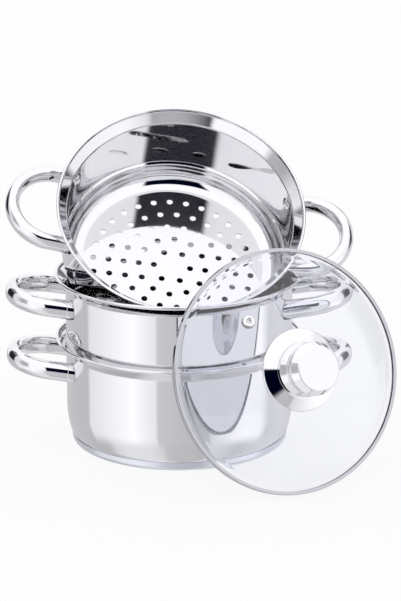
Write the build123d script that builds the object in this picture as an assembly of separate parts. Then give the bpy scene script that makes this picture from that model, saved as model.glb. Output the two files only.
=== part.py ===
from build123d import *
from math import asin, cos, degrees, hypot, radians, sin, sqrt, tan
import os

# A three-tier stainless steel steamer pot, in millimetres, +Z up. The origin is the centre of
# the base pot's underside, and the handles of the base pot and the middle steamer lie on X.
# Every vessel is modelled in a frame of its own, whose zero height is the top of its lip.

# Clearances
seat_gap = 0.3          # between pieces that lift off each other
fit_gap = 0.05          # between pieces that are fixed together
overrun = 1.0           # how far a cutter runs past what it cuts

# Drawn wall that the pot and both steamers share
body_radius = 100.0     # outside of the straight wall
sheet = 0.8             # thickness of the steel
lip_flare = 9.0         # how far the rolled lip stands out past that wall
bead_radius = 1.2       # of the roll itself
flare_straight = 3.0    # depth of the upright band under the lip
flare_height = 11.4     # lip down to the shoulder
flare_bend = 2.5
shoulder_bend = 2.0

# Base pot
pot_height = 95.6       # resting face up to the lip
taper_height = 24.0     # where the wall starts to draw in, above the resting face
taper_angle = 14.0
taper_bend = 80.0
pot_corner_bend = 8.0
core_thickness = 4.6    # heat-spreading disc
core_bend = 3.0
core_clearance = 2.5    # between the disc and the side of its cup
cover_sheet = 0.6       # cup that closes over the disc
cover_height = 8.1      # its edge makes the groove round the pot
cover_corner_inset = 0.8
cover_bend = 4.5

# Steamers
step_depth = 67.6       # lip down to the step that seats on the vessel below
nested_depth = 23.5     # step down to the inside of the floor
step_inset = 2.5
step_bend = 1.5
steamer_corner_bend = 16.8
hole_radius = 2.75
ring_count = 5
holes_in_first_ring = 6
first_ring_radius = 16.3
hole_margin = 10.0      # outermost ring in from the edge of the flat floor

# Loop handles of oval tube
tube_width = 12.3
tube_height = 17.0
tube_wall = 1.0
handle_span = 72.0      # between the centres of the two legs
handle_reach = 44.0     # loop's outer edge past the lip
leg_offset = 8.2        # legs below the start of a nested steamer's bottom corner
handle_rise = 8.0       # slope of the loop, in degrees
foot_length = 4.0       # collar between the tube and the wall
foot_overhang = 0.4     # collar's edge past the tube
foot_bend = 0.6
plug_length = 8.0       # foot's plug inside the tube

# Rivets through the wall into the feet
rivet_radius = 2.5
rivet_grip = 6.0        # length in the foot, from the wall's outside
rivet_head_radius = 5.5
rivet_head_height = 2.4

# How the top steamer leans in the middle one, in degrees
top_tilt = 39.4
top_heading = 9.7       # way that it leans, from straight ahead
top_spin = -11.4        # turn about its own axis

# Lid glass and its steel band
lid_clearance = 1.7     # between the lid and the inside of the lip that it closes
band_sheet = 0.5
band_cover = 3.0        # width of the band on each face of the glass
band_bend = 0.9
glass_thickness = 4.0
glass_rim = 5.6         # flat edge outside the dome
glass_rim_bend = 6.0
dome_rise = 28.0
glass_bore_radius = 4.5

# Steam vent in the glass
vent_radius = 60.0      # from the lid's axis
vent_bearing = 128.5
eyelet_radius = 4.95
eyelet_bore_radius = 2.4
eyelet_sheet = 0.5
eyelet_roll = 0.9       # thickness of the rolled edge
vent_washer_radius = 5.6
vent_washer_thickness = 0.8

# Knob, with heights measured from the top of the glass
knob_sheet = 0.9
rosette_radius = 35.2
rosette_edge = 1.8      # height of the rosette's upright edge
rosette_top = 3.4
rosette_top_radius = 24.2
neck_foot_radius = 23.2
neck_foot_height = 2.6
waist_radius = 19.2
waist_height = 9.0
neck_top_radius = 20.2
neck_rim = 2.0          # upright edge at the top of the neck
neck_height = 17.8
neck_bend = 6.0
cap_radius = 22.7
cap_side = 3.6
cap_crown = 7.3
cap_face_radius = 18.8
cap_face_bend = 1.2
knob_bend = 1.2
insert_radius = 9.0
insert_bore_depth = 12.0

# Screw under the lid
screw_radius = 2.5
screw_head_radius = 4.8
screw_head_height = 2.8
screw_slot_width = 1.2
screw_slot_depth = 1.4
screw_reach = 9.0       # length of the shank inside the insert
washer_radius = 9.0
washer_thickness = 1.2
seal_radius = 10.5
seal_thickness = 1.5

# Where the lid stands on its edge beside the pot
lid_stand_off = 42.2    # lid's centre out from the pot's lip
lid_stand_bearing = 37.7
lid_turn = 26.5
lid_lean = 19.2

# Sizes that follow from the ones above
lip_radius = body_radius + lip_flare
flare_inner_radius = lip_radius - 2 * bead_radius
flare_outer_radius = flare_inner_radius + sheet
wall_inner_radius = body_radius - sheet
flare_run = flare_height - flare_straight
flare_inset = flare_outer_radius - body_radius
flare_slope_length = hypot(flare_run, flare_inset)
pot_floor_height = cover_sheet + core_thickness
taper_inset = (taper_height - pot_floor_height) * tan(radians(taper_angle))
pot_corner_radius = body_radius - taper_inset
nested_radius = body_radius - step_inset
steamer_bottom = step_depth + nested_depth + sheet
floor_flat_radius = nested_radius - steamer_corner_bend
ring_pitch = (floor_flat_radius - hole_margin - first_ring_radius) / (ring_count - 1)
leg_half_span = handle_span / 2
wall_reach = sqrt(body_radius**2 - leg_half_span**2)
foot_bearing = degrees(asin(leg_half_span / body_radius))
loop_reach = (lip_radius + handle_reach - wall_reach) / cos(radians(handle_rise))
leg_length = loop_reach - leg_half_span - tube_width / 2
lid_radius = flare_inner_radius - lid_clearance
glass_edge_radius = lid_radius - band_sheet - fit_gap
glass_top = glass_thickness / 2
dome_foot_radius = glass_edge_radius - glass_rim
dome_radius = (dome_foot_radius**2 + dome_rise**2) / (2 * dome_rise)
apex_height = glass_top + dome_rise
band_half_height = glass_top + fit_gap + band_sheet


UP = (Align.CENTER, Align.CENTER, Align.MIN)
DOWN = (Align.CENTER, Align.CENTER, Align.MAX)


def revolved(section):
    """A sketch drawn as radius and height, turned about Z."""
    return revolve(Plane.XZ * section, Axis.Z)


def pressed(points, bends, thickness):
    """Section of a pressed sheet whose outer face follows the points, wall on the inside."""
    face_line = FilletPolyline(*points, radius=bends)
    return make_face(offset(face_line, amount=thickness, side=Side.RIGHT))


def vessel_shell(lower_points, lower_bends):
    """A drawn vessel from its rolled lip down, the lower part as given."""
    points = [
        (flare_outer_radius, -bead_radius),
        (flare_outer_radius, -flare_straight),
        (body_radius, -flare_height),
        *lower_points,
    ]
    wall = pressed(points, [flare_bend, shoulder_bend, *lower_bends], sheet)
    bead = Pos(lip_radius - bead_radius, -bead_radius) * Circle(bead_radius)
    return revolved(wall + bead)


def pot_shell():
    lower_points = [
        (body_radius, taper_height - pot_height),
        (pot_corner_radius, pot_floor_height - pot_height),
        (0, pot_floor_height - pot_height),
    ]
    return vessel_shell(lower_points, [taper_bend, pot_corner_bend])


def steamer_shell():
    lower_points = [
        (body_radius, -step_depth),
        (nested_radius, -step_depth - step_inset),
        (nested_radius, -steamer_bottom),
        (0, -steamer_bottom),
    ]
    shell = vessel_shell(lower_points, [step_bend, step_bend, steamer_corner_bend])
    return shell - floor_holes()


def floor_holes():
    """Rings of holes, each ring with six more than the one inside it."""
    holes = Sketch()
    for ring in range(ring_count):
        radius = first_ring_radius + ring * ring_pitch
        count = round(holes_in_first_ring * (ring + 1))
        holes += PolarLocations(radius, count) * Circle(hole_radius)
    return extrude(Pos(0, 0, -steamer_bottom - overrun) * holes, sheet + 2 * overrun)


def core_cover_edge():
    """Outer radius of the cup's edge, which closes on the pot's corner."""
    return pot_corner_surface(cover_height) + cover_sheet + fit_gap


def heat_core():
    """Aluminium disc under the pot's floor, its lower edge rounded."""
    core_radius = core_cover_edge() - cover_corner_inset - cover_sheet - core_clearance
    outline = FilletPolyline(
        (0, cover_sheet),
        (core_radius, cover_sheet),
        (core_radius, pot_floor_height),
        (0, pot_floor_height),
        radius=[core_bend, 0],
    )
    return revolved(make_face(outline + Line((0, pot_floor_height), (0, cover_sheet))))


def core_cover():
    """Shallow steel cup over the disc, whose edge closes on the pot's corner."""
    edge_radius = core_cover_edge()
    points = [
        (edge_radius, cover_height),
        (edge_radius - cover_corner_inset, 0),
        (0, 0),
    ]
    return revolved(pressed(points, [cover_bend], cover_sheet))


def pot_corner_surface(height):
    """Radius of the pot's outside on its bottom corner, at a height over the resting face."""
    slope = radians(taper_angle)
    centre_height = pot_floor_height + pot_corner_bend
    centre_radius = pot_corner_radius - pot_corner_bend * (1 - sin(slope)) / cos(slope)
    return centre_radius + sqrt(pot_corner_bend**2 - (centre_height - height) ** 2)


def handle_drop():
    """Depth of the legs and their rivets, where they clear a steamer nested in the vessel."""
    return steamer_bottom - steamer_corner_bend - nested_rise() + leg_offset


def handle_frame():
    """Frame at the centre of the loop's bend, on a handle that points along +Y."""
    at_wall = Pos(0, wall_reach, -handle_drop()) * Rot(handle_rise, 0, 0)
    return at_wall * Pos(0, leg_length, 0)


def oval(inset):
    return Ellipse(tube_width / 2 - inset, tube_height / 2 - inset)


def handle_tube():
    ring = oval(0) - oval(tube_wall)
    right_leg = Plane.XZ * Pos(leg_half_span, 0) * ring
    left_leg = Plane.XZ * Pos(-leg_half_span, 0) * ring
    straight = leg_length - foot_length
    tube = revolve(right_leg, Axis.Z, 180)
    tube += extrude(right_leg, straight)
    tube += extrude(left_leg, straight)
    return handle_frame() * tube


def handle_feet():
    """Two end pieces, each with a collar on the wall and a plug up the tube."""
    wall = Cylinder(body_radius + fit_gap, 2 * (handle_drop() + tube_height))
    feet = []
    for side, bearing in ((1, -foot_bearing), (-1, foot_bearing)):
        mouth = handle_frame() * Pos(side * leg_half_span, foot_length - leg_length, 0)
        section = Plane.XZ * oval(-foot_overhang)
        collar = extrude(section, foot_length + tube_width)
        rim = collar.edges().group_by(Axis.Y)[-1]
        collar = mouth * fillet(rim, foot_bend)
        plug = mouth * extrude(Plane.XZ * oval(tube_wall + fit_gap), -plug_length)
        hole = rivet_shank(rivet_radius + fit_gap, rivet_grip + overrun)
        hole = Rot(0, 0, 90 + bearing) * hole
        feet.append(collar + plug - wall - hole)
    return feet


def rivet_shank(radius, length):
    """Shank through the wall along +X, as long as given outside the wall."""
    start = wall_inner_radius - overrun
    shank = Cylinder(radius, body_radius + length - start, align=UP)
    return Pos(start, 0, -handle_drop()) * Rot(0, 90, 0) * shank


def rivet():
    """A domed head that hugs the inside of the wall, with its shank, along +X."""
    dome = (rivet_head_radius**2 + rivet_head_height**2) / (2 * rivet_head_height)
    wall = wall_inner_radius - fit_gap
    ball = Pos(wall - rivet_head_height + dome, 0, -handle_drop()) * Sphere(dome)
    head = ball & Cylinder(wall, 2 * (handle_drop() + dome))
    return head + rivet_shank(rivet_radius, rivet_grip)


def foot_bearings():
    """Bearing of each of a vessel's four feet, from +X."""
    return [axis + side * foot_bearing for axis in (0, 180) for side in (-1, 1)]


def riveted(shell):
    """The shell with a hole for each rivet."""
    hole = rivet_shank(rivet_radius + fit_gap, overrun)
    return shell - [Rot(0, 0, bearing) * hole for bearing in foot_bearings()]


def vessel_parts(name, shell):
    """A shell with its handles, feet and rivets, in the vessel's own frame."""
    parts = {f"{name}_shell": riveted(shell)}
    for side, turn in (("left", 90), ("right", -90)):
        parts[f"{name}_handle_{side}"] = Rot(0, 0, turn) * handle_tube()
        parts[f"{name}_handle_feet_{side}"] = Rot(0, 0, turn) * Compound(handle_feet())
    rivets = [Rot(0, 0, bearing) * rivet() for bearing in foot_bearings()]
    parts[f"{name}_rivets"] = Compound(rivets)
    return parts


def dome_height(radius, inset=0):
    """Height of the glass over its edge's middle: its outside, or a surface inset from it."""
    ball = dome_radius - inset
    return apex_height - dome_radius + sqrt(ball**2 - radius**2)


def lid_glass():
    inner_ball = dome_radius - glass_thickness
    centre = apex_height - dome_radius
    inner_foot = sqrt(inner_ball**2 - (-glass_top - centre) ** 2)
    middle = dome_foot_radius / 2
    outline = [
        Line((glass_edge_radius, -glass_top), (glass_edge_radius, glass_top)),
        Line((glass_edge_radius, glass_top), (dome_foot_radius, glass_top)),
        ThreePointArc((dome_foot_radius, glass_top), (middle, dome_height(middle)), (0, apex_height)),
        Line((0, apex_height), (0, apex_height - glass_thickness)),
        ThreePointArc(
            (0, apex_height - glass_thickness),
            (middle, dome_height(middle, glass_thickness)),
            (inner_foot, -glass_top),
        ),
        Line((inner_foot, -glass_top), (glass_edge_radius, -glass_top)),
    ]
    section = make_face(Curve() + outline)
    bend = section.vertices().sort_by_distance((dome_foot_radius, glass_top))[0]
    section = fillet(bend, glass_rim_bend)
    glass = revolved(section)
    bore = Cylinder(glass_bore_radius, 2 * (apex_height + overrun))
    vent = vent_frame() * Cylinder(eyelet_bore_radius + eyelet_sheet + fit_gap, 4 * glass_thickness)
    return glass - bore - vent


def lid_band():
    """Steel channel rolled over the edge of the glass."""
    inner_radius = lid_radius - band_cover
    outline = Rectangle(band_cover, 2 * band_half_height)
    outline = fillet(outline.vertices().group_by(Axis.X)[-1], band_bend)
    channel = Rectangle(band_cover, 2 * (band_half_height - band_sheet))
    channel = fillet(channel.vertices().group_by(Axis.X)[-1], fit_gap)
    section = Pos(inner_radius + band_cover / 2, 0) * (outline - Pos(-band_sheet, 0) * channel)
    return revolved(section)


def vent_frame():
    """Frame on the outside of the glass at the vent, its height axis square to the glass."""
    slope = degrees(asin(vent_radius / dome_radius))
    spot = Pos(vent_radius, 0, dome_height(vent_radius)) * Rot(0, slope, 0)
    return Rot(0, 0, vent_bearing) * spot


def vent_eyelet():
    """Eyelet through the glass: a rolled edge outside and a tube down to the washer."""
    tube_radius = eyelet_bore_radius + eyelet_sheet
    tube_length = glass_thickness + fit_gap + vent_washer_thickness
    width = eyelet_radius - eyelet_bore_radius
    roll = Rectangle(width, eyelet_roll)
    roll = fillet(roll.vertices().group_by(Axis.Y)[-1], eyelet_roll / 2)
    roll = Pos(eyelet_bore_radius + width / 2, fit_gap + eyelet_roll / 2) * roll
    tube = Rectangle(eyelet_sheet, tube_length + fit_gap, align=(Align.MAX, Align.MAX))
    tube = Pos(tube_radius, fit_gap) * tube
    return vent_frame() * revolved(roll + tube)


def vent_washer():
    """Ring that the eyelet is crimped over, inside the lid."""
    bore = eyelet_bore_radius + eyelet_sheet + fit_gap
    width = vent_washer_radius - bore
    hollow = vent_washer_radius**2 / (2 * (dome_radius - glass_thickness))
    section = Rectangle(width, vent_washer_thickness, align=(Align.MIN, Align.MAX))
    return vent_frame() * revolved(Pos(bore, -glass_thickness - hollow - fit_gap) * section)


def knob_rosette():
    """Pressed plate under the knob, its edge on the glass."""
    edge = dome_height(rosette_radius - knob_sheet) + fit_gap
    points = [
        (insert_radius + fit_gap, apex_height + rosette_top),
        (rosette_top_radius, apex_height + rosette_top),
        (rosette_radius, edge + rosette_edge),
        (rosette_radius, edge),
    ]
    return revolved(pressed(points, [knob_bend, knob_bend], knob_sheet))


def knob_neck():
    """Waisted sleeve between the rosette and the cap."""
    foot = apex_height + rosette_top + fit_gap
    points = [
        (neck_top_radius, foot + neck_height),
        (neck_top_radius, foot + neck_height - neck_rim),
        (waist_radius, foot + waist_height),
        (neck_foot_radius, foot + neck_foot_height),
        (neck_foot_radius, foot),
    ]
    return revolved(pressed(points, [neck_bend, neck_bend, knob_bend], knob_sheet))


def knob_cap_foot():
    return apex_height + rosette_top + neck_height + 2 * fit_gap


def knob_cap():
    """Mushroom cap, a flat face inside a rounded crown."""
    foot = knob_cap_foot()
    points = [
        (0, foot),
        (neck_top_radius, foot),
        (cap_radius, foot + cap_radius - neck_top_radius),
        (cap_radius, foot + cap_side),
        (cap_face_radius, foot + cap_side + cap_crown),
        (0, foot + cap_side + cap_crown),
    ]
    outline = FilletPolyline(*points, radius=[0, knob_bend, cap_side - knob_bend, cap_face_bend])
    solid = revolved(make_face(outline + Line(points[-1], points[0])))
    hollow = Cylinder(insert_radius + fit_gap, cap_side, align=UP)
    return solid - Pos(0, 0, foot) * hollow


def knob_insert():
    """Threaded bush from the glass up into the cap."""
    foot = apex_height + fit_gap
    length = knob_cap_foot() + cap_side - fit_gap - foot
    bush = Cylinder(insert_radius, length, align=UP)
    bore = Cylinder(screw_radius + fit_gap, insert_bore_depth, align=UP)
    return Pos(0, 0, foot) * (bush - bore)


def under_lid_stack():
    """Seal, washer and screw on the inside of the glass, from the top down."""
    seal_top = dome_height(seal_radius, glass_thickness) - fit_gap
    washer_top = seal_top - seal_thickness
    head_top = washer_top - washer_thickness
    bore = screw_radius + fit_gap
    seal = Cylinder(seal_radius, seal_thickness, align=DOWN) - Cylinder(bore, 2 * seal_thickness)
    washer = Cylinder(washer_radius, washer_thickness, align=DOWN) - Cylinder(bore, 2 * washer_thickness)
    return {
        "knob_seal": Pos(0, 0, seal_top) * seal,
        "knob_washer": Pos(0, 0, washer_top) * washer,
        "knob_screw": knob_screw(head_top),
    }


def knob_screw(head_top):
    """Slotted screw, its head under the washer and its shank up in the insert."""
    head = Cylinder(screw_head_radius, screw_head_height, align=DOWN)
    head = fillet(head.edges().group_by(Axis.Z)[0], screw_head_height / 2)
    slot = Box(2 * screw_head_radius, screw_slot_width, screw_slot_depth, align=UP)
    slot = Pos(0, 0, -screw_head_height) * slot
    shank = Cylinder(screw_radius, apex_height + screw_reach - head_top, align=UP)
    return Pos(0, 0, head_top) * (head - slot + shank)


def lid_parts():
    return {
        "lid_glass": lid_glass(),
        "lid_rim_band": lid_band(),
        "vent_eyelet": vent_eyelet(),
        "vent_washer": vent_washer(),
        "knob_rosette": knob_rosette(),
        "knob_neck": knob_neck(),
        "knob_cap": knob_cap(),
        "knob_insert": knob_insert(),
        **under_lid_stack(),
    }


def depth_on_flare(radius, clearance):
    """Depth below the lip at which a point of this radius is that clear of the slope."""
    across = (flare_outer_radius - radius) * flare_run - (clearance + sheet) * flare_slope_length
    return flare_straight + across / flare_inset


def nested_rise():
    """Height of a steamer's lip over the lip that it is nested in."""
    bend_depth = step_depth - step_bend * tan(radians(45) / 2)
    return bend_depth - depth_on_flare(body_radius - step_bend, step_bend + seat_gap)


def steamer_clearance(radius, depth):
    """Distance of a point from a steamer's outside, in the steamer's own frame."""
    corner_depth = steamer_bottom - steamer_corner_bend
    if depth > corner_depth:
        if radius < floor_flat_radius:
            return depth - steamer_bottom
        return hypot(radius - floor_flat_radius, depth - corner_depth) - steamer_corner_bend
    if depth > step_depth + step_inset:
        return radius - nested_radius
    return radius - body_radius


def leaning_rise(offset):
    """Height of the leaning steamer's lip centre when the front of its lip is on the flare."""
    tilt = radians(top_tilt)
    front_radius = lip_radius - bead_radius
    radius = offset + front_radius * cos(tilt) - bead_radius * sin(tilt)
    depth = depth_on_flare(radius, bead_radius + seat_gap)
    return front_radius * sin(tilt) + bead_radius * cos(tilt) - depth


def leaning_side_clearance(offset):
    """Least distance between the leaning steamer and the shoulder of the one that holds it."""
    tilt = radians(top_tilt)
    rise = leaning_rise(offset)
    shoulder_depth = depth_on_flare(wall_inner_radius, 0)
    least = body_radius
    for depth in (shoulder_depth, 2 * shoulder_depth, 3 * shoulder_depth):
        for bearing in range(0, 181, 2):
            ahead = wall_inner_radius * cos(radians(bearing)) - offset
            aside = wall_inner_radius * sin(radians(bearing))
            up = -depth - rise
            along_axis = ahead * sin(tilt) + up * cos(tilt)
            off_axis = hypot(ahead * cos(tilt) - up * sin(tilt), aside)
            least = min(least, steamer_clearance(off_axis, -along_axis))
    return least


def leg_points():
    """Points on the outside of a steamer's handle legs, in the steamer's own frame."""
    rise = radians(handle_rise)
    for outward, side in ((1, 1), (1, -1), (-1, 1), (-1, -1)):
        for step in range(13):
            along = leg_length * step / 12
            for bearing in range(0, 360, 15):
                across = (tube_width / 2 + foot_overhang) * cos(radians(bearing))
                high = (tube_height / 2 + foot_overhang) * sin(radians(bearing))
                reach = wall_reach + along * cos(rise) - high * sin(rise)
                height = along * sin(rise) + high * cos(rise) - handle_drop()
                yield outward * reach, side * leg_half_span + across, height


def leaning_leg_clearance(offset):
    """Least distance between the leaning steamer's handle legs and the lip below them."""
    tilt, spin = radians(top_tilt), radians(top_spin)
    rise = leaning_rise(offset)
    least = body_radius
    for x, y, z in leg_points():
        aside = x * cos(spin) - y * sin(spin)
        back = x * sin(spin) + y * cos(spin)
        radius = hypot(aside, back * cos(tilt) - z * sin(tilt) - offset)
        height = back * sin(tilt) + z * cos(tilt) + rise
        to_bead = hypot(radius - lip_radius + bead_radius, height + bead_radius)
        least = min(least, to_bead - bead_radius)
    return least


def leaning_offset():
    """How far ahead the leaning steamer's lip centre is when its side or a leg is also seated."""
    low, high = 0, body_radius / 2
    for _ in range(24):
        middle = (low + high) / 2
        clearance = min(leaning_side_clearance(middle), leaning_leg_clearance(middle))
        if clearance < seat_gap:
            low = middle
        else:
            high = middle
    return high


def top_frame(lower_lip_height):
    offset = leaning_offset()
    heading = radians(top_heading)
    height = lower_lip_height + leaning_rise(offset)
    centre = Pos(offset * sin(heading), -offset * cos(heading), height)
    return centre * Rot(0, 0, top_heading) * Rot(top_tilt, 0, 0) * Rot(0, 0, top_spin)


def lid_frame():
    """The lid stands on the floor on its band, leaning back, with its knob outwards."""
    bearing = radians(lid_stand_bearing)
    lean = radians(lid_lean)
    distance = lip_radius + lid_stand_off
    bend_centre = (lid_radius - band_bend) * cos(lean) + (band_half_height - band_bend) * sin(lean)
    height = bend_centre + band_bend
    spot = Pos(distance * sin(bearing), -distance * cos(bearing), height)
    return spot * Rot(0, 0, lid_turn) * Rot(90 - lid_lean, 0, 0)


def placed(parts, frame):
    return {name: frame * shape for name, shape in parts.items()}


def assembly():
    middle_lip_height = pot_height + nested_rise()
    parts = {"base_heat_core": heat_core(), "base_core_cover": core_cover()}
    parts.update(placed(vessel_parts("base", pot_shell()), Pos(0, 0, pot_height)))
    middle = vessel_parts("middle", steamer_shell())
    parts.update(placed(middle, Pos(0, 0, middle_lip_height)))
    top = vessel_parts("top", steamer_shell())
    parts.update(placed(top, top_frame(middle_lip_height)))
    parts.update(placed(lid_parts(), lid_frame()))
    return parts


os.makedirs("parts", exist_ok=True)
for node, shape in assembly().items():
    export_step(shape, f"parts/{node}.step")
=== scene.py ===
from math import asin, atan2, cos, hypot, pi, radians, sin, sqrt, tan

import bmesh
import bpy
from mathutils import Matrix, Vector


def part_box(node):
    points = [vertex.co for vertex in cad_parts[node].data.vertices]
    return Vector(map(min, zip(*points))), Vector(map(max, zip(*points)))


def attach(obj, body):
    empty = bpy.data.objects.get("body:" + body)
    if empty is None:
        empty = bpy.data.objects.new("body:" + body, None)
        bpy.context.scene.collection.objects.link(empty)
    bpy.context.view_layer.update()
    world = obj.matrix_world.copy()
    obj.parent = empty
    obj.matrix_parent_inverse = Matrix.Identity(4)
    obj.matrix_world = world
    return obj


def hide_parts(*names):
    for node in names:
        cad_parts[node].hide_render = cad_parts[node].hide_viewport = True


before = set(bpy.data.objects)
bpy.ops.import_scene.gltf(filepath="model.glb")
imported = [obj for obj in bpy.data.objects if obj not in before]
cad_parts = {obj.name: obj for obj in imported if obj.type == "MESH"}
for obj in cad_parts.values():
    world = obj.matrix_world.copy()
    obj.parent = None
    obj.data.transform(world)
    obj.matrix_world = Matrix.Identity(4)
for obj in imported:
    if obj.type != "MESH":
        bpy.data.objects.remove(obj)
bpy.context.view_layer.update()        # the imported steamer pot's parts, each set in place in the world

MM = 0.001

# Sizes, in millimetres, and angles, in degrees
# Drawn wall of the pot and the steamers, measured down from the top of the lip
body_radius = 100.0
sheet = 0.8
lip_radius = 109.0
bead_radius = 1.2
flare_straight = 3.0
flare_height = 11.4
flare_bend = 2.5
shoulder_bend = 2.0
lip_roll = 289.7         # how far the bead is rolled round
fit_gap = 0.05           # between pieces that are fixed together
flare_inner_radius = lip_radius - 2 * bead_radius
flare_outer_radius = flare_inner_radius + sheet

# Base pot
pot_height = 95.6
taper_height = 24.0
taper_angle = 14.0
taper_bend = 80.0
pot_corner_bend = 8.0
core_thickness = 4.6
cover_sheet = 0.6
cover_height = 8.1
cover_corner_inset = 0.8
cover_bend = 4.5
pot_floor_height = cover_sheet + core_thickness
taper = radians(taper_angle)
pot_corner_radius = body_radius - (taper_height - pot_floor_height) * tan(taper)
corner_centre_radius = pot_corner_radius - pot_corner_bend * (1 - sin(taper)) / cos(taper)
corner_centre_height = pot_floor_height + pot_corner_bend
corner_reach = sqrt(pot_corner_bend**2 - (corner_centre_height - cover_height)**2)
cover_edge_radius = corner_centre_radius + corner_reach + cover_sheet + fit_gap

# Steamers
step_depth = 67.6
step_inset = 2.5
step_bend = 1.5
nested_depth = 23.5      # step down to the inside of the floor
steamer_bottom = step_depth + nested_depth + sheet
steamer_corner_bend = 16.8
floor_flat_radius = body_radius - step_inset - steamer_corner_bend
plate_inset = 0.5
plate_radius = floor_flat_radius - plate_inset   # perforated plate, joined to the wall on flat ground
hole_radius = 2.75
hole_margin = 10.0       # outermost ring in from the edge of the flat floor
first_ring_radius = 16.3
ring_count = 5
ring_pitch = (floor_flat_radius - hole_margin - first_ring_radius) / (ring_count - 1)
holes_in_first_ring = 6
haze_edge = 1.0
haze_height = haze_edge + plate_inset + sheet - steamer_bottom   # where the floor's dull finish ends
haze_roughness = 0.5
haze_share = 0.07

# Where the loose parts rest, with the height of the middle steamer's floor from the frame
middle_lip_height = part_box("middle_shell")[0].z / MM + steamer_bottom
nested_rise = middle_lip_height - pot_height
top_offset = 18.31576    # lip's centre ahead of the middle steamer's, on whose lip it leans
top_rise = 62.40093      # and above it
top_heading = 9.7        # way that it leans, from straight ahead
top_tilt = 39.4
top_spin = -11.4         # turn about its own axis
lid_stand_off = 42.2     # lid's centre out from the pot's lip
lid_stand_bearing = 37.7
lid_turn = 26.5
lid_lean = 19.2

# Handles and rivets
tube_width = 12.3
tube_height = 17.0
tube_wall = 1.0
leg_half_span = 36.0
handle_reach = 44.0      # loop's outer edge past the lip
leg_offset = 8.2         # legs below the start of a nested steamer's bottom corner
handle_rise = 8.0
foot_length = 4.0
foot_overhang = 0.4
foot_bend = 0.6
foot_groove = 0.45       # how far the collar draws in again where it meets the wall
rivet_radius = 2.5
rivet_grip = 6.0
rivet_head_radius = 5.5
rivet_head_height = 2.4
wall_reach = sqrt(body_radius**2 - leg_half_span**2)
foot_bearing = asin(leg_half_span / body_radius)    # in radians
loop_reach = (lip_radius + handle_reach - wall_reach) / cos(radians(handle_rise))
leg_length = loop_reach - leg_half_span - tube_width / 2
handle_drop = steamer_bottom - steamer_corner_bend - nested_rise + leg_offset

# Lid, with heights from the middle of the glass's edge
lid_clearance = 1.7      # between the lid and the inside of the lip that it closes
lid_radius = flare_inner_radius - lid_clearance
band_sheet = 0.5
band_cover = 3.0
band_bend = 0.9
glass_thickness = 4.0
glass_rim = 5.6          # flat edge outside the dome
glass_rim_bend = 6.0
glass_bore_radius = 4.5
glass_edge_radius = lid_radius - band_sheet - fit_gap
glass_top = glass_thickness / 2
band_half_height = glass_top + fit_gap + band_sheet
dome_rise = 28.0
dome_foot_radius = glass_edge_radius - glass_rim
dome_radius = (dome_foot_radius**2 + dome_rise**2) / (2 * dome_rise)
apex_height = glass_top + dome_rise
vent_radius = 60.0
vent_bearing = 128.5
eyelet_radius = 4.95
eyelet_bore_radius = 2.4
eyelet_sheet = 0.5
eyelet_roll = 0.9
vent_washer_radius = 5.6
vent_washer_thickness = 0.8

# Knob
knob_sheet = 0.9
rosette_radius = 35.2
rosette_edge = 1.8
rosette_top = 3.4
rosette_top_radius = 24.2
neck_foot_radius = 23.2
neck_foot_height = 2.6
waist_radius = 19.2
waist_height = 9.0
neck_top_radius = 20.2
neck_rim = 2.0
neck_height = 17.8
neck_bend = 6.0
cap_radius = 22.7
cap_side = 3.6
cap_crown = 7.3
cap_face_radius = 18.8
cap_face_bend = 1.2
knob_bend = 1.2
insert_radius = 9.0
satin_start = 0.12       # below the cap's face, where its polish begins to give way
satin_full = 0.04
neck_foot = apex_height + rosette_top + fit_gap
cap_foot = neck_foot + neck_height + fit_gap
cap_face = cap_foot + cap_side + cap_crown

# Fineness of the meshes
around = 256             # points round every turned piece
arc_step = radians(6)    # about this much turn from one point of a bend to the next
arc_chord = 1.5          # or about this far, where that is less
support = 0.25           # a straight run's shading is held this near to its bends
roll_steps = 40          # points along the lip's roll
around_tube = 48
around_collar = 64
loop_steps = 28          # points along each bend of a loop handle
around_hole = 28
collar_steps = 6         # points along each rounded edge of a collar
collar_rows = 2 * collar_steps + 4
dome_step = radians(1.2)
seam = 0.004             # points nearer than this are one
least_step = 0.01        # from a run's end to the outline's next point
crease = radians(38)     # an edge that turns more than this stays sharp


# Places
def turned(degrees, axis):
    return Matrix.Rotation(radians(degrees), 4, axis)


def moved(place):
    return Matrix.Translation([v * MM for v in place])


def ahead_of_base(distance, bearing, height):
    """A point so far from the base's axis, to the right of straight ahead by the bearing."""
    return distance * sin(radians(bearing)), -distance * cos(radians(bearing)), height


lean = radians(lid_lean)
bend_centre = (lid_radius - band_bend) * cos(lean) + (band_half_height - band_bend) * sin(lean)
lid_height = bend_centre + band_bend
lid_centre = ahead_of_base(lip_radius + lid_stand_off, lid_stand_bearing, lid_height)
top_centre = ahead_of_base(top_offset, top_heading, middle_lip_height + top_rise)
base_frame = moved((0, 0, pot_height))
floor_frame = Matrix.Identity(4)
middle_frame = moved((0, 0, middle_lip_height))
top_frame = moved(top_centre) @ turned(top_heading, "Z") @ turned(top_tilt, "X") @ turned(top_spin, "Z")
lid_frame = moved(lid_centre) @ turned(lid_turn, "Z") @ turned(90 - lid_lean, "X")
vent_slope = asin(vent_radius / dome_radius)
vent_height = apex_height - dome_radius + sqrt(dome_radius**2 - vent_radius**2)
vent_frame = (lid_frame @ turned(vent_bearing, "Z") @ moved((vent_radius, 0, vent_height))
              @ Matrix.Rotation(vent_slope, 4, "Y"))


# Camera
picture_height = 601     # long side of the picture, in pixels
focal_px = 3088.92
camera_place = (40.18, -2605.21, 933.57)
camera_yaw, camera_pitch, camera_roll = -0.0081, 0.3007, -0.0030    # in radians


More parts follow.
